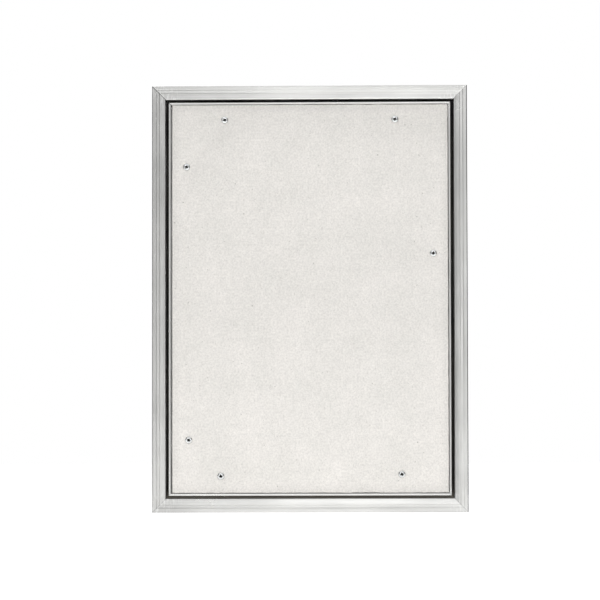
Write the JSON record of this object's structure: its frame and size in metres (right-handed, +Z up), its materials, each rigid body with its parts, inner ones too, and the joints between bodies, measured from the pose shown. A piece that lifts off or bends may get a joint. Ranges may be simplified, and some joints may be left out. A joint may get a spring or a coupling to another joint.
{
  "type": "tileable access panel",
  "caption": "Wall access panel: mitred aluminium frame and a door on lever hinges with a recessed board ready for tiles, push latch and rubber seal.",
  "frame": {"origin": "middle of the clear opening, in the plane of the front face, which is the face of the board that the tiles are laid on", "axes": "+Z up the panel, +X to the latch side, -Y out of the wall towards the user"},
  "size_m": [0.34, 0.052, 0.46],
  "materials": {
    "extruded_aluminium_frame": "mill-finish extrusion with fine die lines",
    "extruded_aluminium_door": "mill-finish extrusion",
    "epdm_rubber": "matte black extruded rubber",
    "gypsum_fibreboard": "pale matte mineral board with fine fibres",
    "cast_zinc_key": "die-cast zinc",
    "galvanised_steel": "zinc-plated pressed steel",
    "galvanised_sheet": "galvanised sheet",
    "aluminium_rivet": "satin",
    "zinc_plated_screw": "bright zinc plating",
    "turned_steel_pin": "turned steel",
    "acetal": "natural moulded acetal",
    "moulded_abs": "moulded, fine texture",
    "nickel_plated_magnet": "nickel plating",
    "spring_steel": "drawn wire"
  },
  "bodies": {
    "frame": {"corner_key_bottom_left": "cast_zinc_key", "corner_key_bottom_right": "cast_zinc_key", "corner_key_screws": "zinc_plated_screw", "corner_key_top_left": "cast_zinc_key", "corner_key_top_right": "cast_zinc_key", "frame_bottom": "extruded_aluminium_frame", "frame_left": "extruded_aluminium_frame", "frame_right": "extruded_aluminium_frame", "frame_top": "extruded_aluminium_frame", "hinge_frame_bracket_lower": "galvanised_steel", "hinge_frame_bracket_upper": "galvanised_steel", "hinge_frame_pins_lower": "turned_steel_pin", "hinge_frame_pins_upper": "turned_steel_pin", "hinge_spacers_lower": "acetal", "hinge_spacers_upper": "acetal", "hinge_web_rivets": "aluminium_rivet", "latch_bracket": "galvanised_steel", "latch_bracket_rivets": "aluminium_rivet", "latch_cam_pin": "turned_steel_pin", "latch_end_cap": "moulded_abs", "latch_housing": "moulded_abs", "latch_housing_screws": "zinc_plated_screw", "latch_spring": "spring_steel", "seal_bottom": "epdm_rubber", "seal_left": "epdm_rubber", "seal_right": "epdm_rubber", "seal_top": "epdm_rubber"},
    "door": {"board_screws": "zinc_plated_screw", "door_corner_plate_bottom_left": "galvanised_sheet", "door_corner_plate_bottom_right": "galvanised_sheet", "door_corner_plate_top_left": "galvanised_sheet", "door_corner_plate_top_right": "galvanised_sheet", "door_corner_rivets": "aluminium_rivet", "door_profile_bottom": "extruded_aluminium_door", "door_profile_left": "extruded_aluminium_door", "door_profile_right": "extruded_aluminium_door", "door_profile_top": "extruded_aluminium_door", "hinge_base_rivets": "aluminium_rivet", "hinge_door_bracket_lower": "galvanised_steel", "hinge_door_bracket_upper": "galvanised_steel", "hinge_door_pins_lower": "turned_steel_pin", "hinge_door_pins_upper": "turned_steel_pin", "strike_plate": "galvanised_sheet", "strike_rivet": "aluminium_rivet", "tile_board": "gypsum_fibreboard"},
    "lever_upper": {"main_lever_upper": "galvanised_steel"},
    "lever_lower": {"main_lever_lower": "galvanised_steel"},
    "control_upper": {"control_lever_upper": "galvanised_steel"},
    "control_lower": {"control_lever_lower": "galvanised_steel"},
    "plunger": {"latch_plunger": "acetal", "latch_magnet": "nickel_plated_magnet"}
  },
  "joints": [
    {"name": "upper_lever_swing", "type": "hinge", "parent": "frame", "child": "lever_upper", "pos_m": [-0.0665, 0.046, 0.1555], "axis": [0, 0, 1], "range_deg": [0, 74.71]},
    {"name": "door_swing", "type": "hinge", "parent": "lever_upper", "child": "door", "pos_m": [-0.1385, 0.032, 0.1555], "axis": [0, 0, -1], "range_deg": [0, 162.72]},
    {"name": "lower_lever_swing", "type": "hinge", "parent": "frame", "child": "lever_lower", "pos_m": [-0.0665, 0.046, -0.1391], "axis": [0, 0, 1], "range_deg": [0, 74.72]},
    {"name": "upper_control_swing", "type": "hinge", "parent": "frame", "child": "control_upper", "pos_m": [-0.0895, 0.02, 0.1555], "axis": [0, 0, 1], "range_deg": [0, 100.13]},
    {"name": "lower_control_swing", "type": "hinge", "parent": "frame", "child": "control_lower", "pos_m": [-0.0895, 0.02, -0.1391], "axis": [0, 0, 1], "range_deg": [0, 100.13]},
    {"name": "plunger_slide", "type": "slide", "parent": "frame", "child": "plunger", "axis": [0, -1, 0], "range_m": [0, 0.012]}
  ],
  "couplings": [
    {"joint": "door_swing", "follows": "upper_lever_swing", "ratio": 2.1779},
    {"joint": "lower_lever_swing", "follows": "upper_lever_swing", "ratio": 1},
    {"joint": "upper_control_swing", "follows": "upper_lever_swing", "ratio": 1.3401},
    {"joint": "lower_control_swing", "follows": "upper_lever_swing", "ratio": 1.3401},
    {"joint": "plunger_slide", "follows": "upper_lever_swing", "m_per_rad": 0.0092028}
  ]
}
